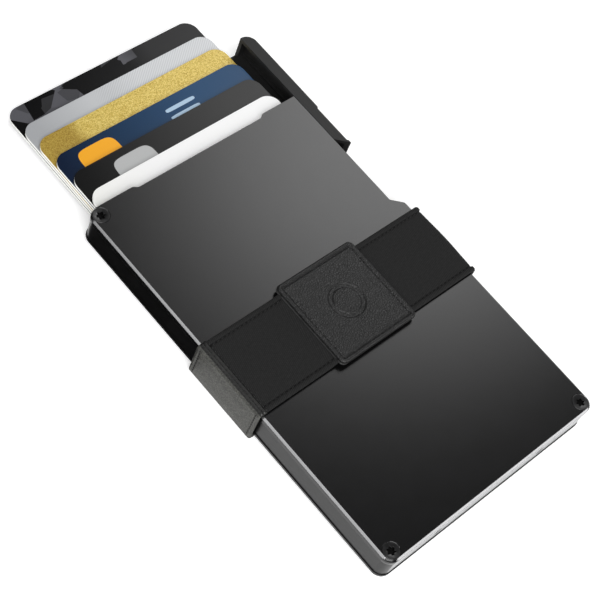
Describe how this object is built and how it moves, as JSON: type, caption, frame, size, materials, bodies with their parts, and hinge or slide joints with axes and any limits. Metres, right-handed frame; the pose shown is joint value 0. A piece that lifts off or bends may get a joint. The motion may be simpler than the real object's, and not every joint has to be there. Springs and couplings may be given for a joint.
{
  "type": "minimalist wallet",
  "caption": "Slim metal card wallet with a side slide that fans the cards out of its top, held by an elastic band with a leather patch.",
  "frame": {"origin": "on the underside of the elastic band, below the middle of the plates", "axes": "+X across the wallet towards the slide, +Y along the wallet towards the card exit, +Z out of the front plate"},
  "size_m": [0.0658, 0.1314, 0.0113],
  "materials": {
    "plate": "black anodised, satin gloss",
    "frame": "black moulded nylon",
    "end_plate": "black anodised",
    "screw": "black oxide",
    "steel": "bright spring steel",
    "finger": "stamped steel",
    "slide_cap": "bead-blasted, dark anodised",
    "card_1": "laminated PVC, black",
    "card_2": "laminated PVC, silver",
    "card_3": "laminated PVC, gold glitter",
    "card_4": "laminated PVC, blue",
    "card_5": "laminated PVC, charcoal",
    "card_6": "laminated PVC, white",
    "elastic": "woven elastic webbing",
    "side_tab": "grained imitation leather",
    "patch_backing": "black backing",
    "patch": "pebbled leather, stitched"
  },
  "bodies": {
    "wallet": {"front_plate": "plate", "rear_plate": "plate", "frame": "frame", "end_plate": "end_plate", "front_screws": "screw", "rear_screws": "screw", "end_screws": "screw", "guide_rail": "frame", "rail_dowels": "steel", "pivot_pin": "steel", "card_spring": "steel"},
    "slide": {"slide_cap": "slide_cap", "slide_arm": "steel", "slide_rivets": "steel", "drive_pin": "steel"},
    "fan_lever": {"fan_finger_1": "finger", "fan_finger_2": "finger", "fan_finger_3": "finger", "fan_finger_4": "finger", "fan_finger_5": "finger", "fan_finger_6": "finger", "lever_rivets": "steel"},
    "card_1": {"card_1": "card_1"},
    "card_2": {"card_2": "card_2"},
    "card_3": {"card_3": "card_3"},
    "card_4": {"card_4": "card_4"},
    "card_5": {"card_5": "card_5"},
    "card_6": {"card_6": "card_6"},
    "band": {"band_front": "elastic", "band_back": "elastic", "band_right_fold": "elastic", "band_side_tab": "side_tab", "patch_backing": "patch_backing", "leather_patch": "patch"}
  },
  "joints": [
    {"name": "slide_travel", "type": "slide", "parent": "wallet", "child": "slide", "axis": [0, 1, 0], "range_m": [-0.0193, 0]},
    {"name": "fan_swing", "type": "hinge", "parent": "wallet", "child": "fan_lever", "pos_m": [-0.027, -0.04044, 0], "axis": [0, 0, 1], "range_deg": [-49.93, 0]},
    {"name": "card_1_lift", "type": "slide", "parent": "wallet", "child": "card_1", "axis": [0, 1, 0], "range_m": [-0.03345, 0]},
    {"name": "card_2_lift", "type": "slide", "parent": "wallet", "child": "card_2", "axis": [0, 1, 0], "range_m": [-0.02788, 0]},
    {"name": "card_3_lift", "type": "slide", "parent": "wallet", "child": "card_3", "axis": [0, 1, 0], "range_m": [-0.02281, 0]},
    {"name": "card_4_lift", "type": "slide", "parent": "wallet", "child": "card_4", "axis": [0, 1, 0], "range_m": [-0.01691, 0]},
    {"name": "card_5_lift", "type": "slide", "parent": "wallet", "child": "card_5", "axis": [0, 1, 0], "range_m": [-0.01091, 0]},
    {"name": "card_6_lift", "type": "slide", "parent": "wallet", "child": "card_6", "axis": [0, 1, 0], "range_m": [-0.00472, 0]},
    {"name": "band_shift", "type": "slide", "parent": "wallet", "child": "band", "axis": [0, 1, 0], "range_m": [-0.062, 0.001]}
  ],
  "couplings": [
    {"joint": "fan_swing", "follows": "slide_travel", "rad_per_m": 45.15},
    {"joint": "card_1_lift", "follows": "slide_travel", "ratio": 1.7332},
    {"joint": "card_2_lift", "follows": "slide_travel", "ratio": 1.4446},
    {"joint": "card_3_lift", "follows": "slide_travel", "ratio": 1.1819},
    {"joint": "card_4_lift", "follows": "slide_travel", "ratio": 0.87616},
    {"joint": "card_5_lift", "follows": "slide_travel", "ratio": 0.56528},
    {"joint": "card_6_lift", "follows": "slide_travel", "ratio": 0.24456}
  ]
}
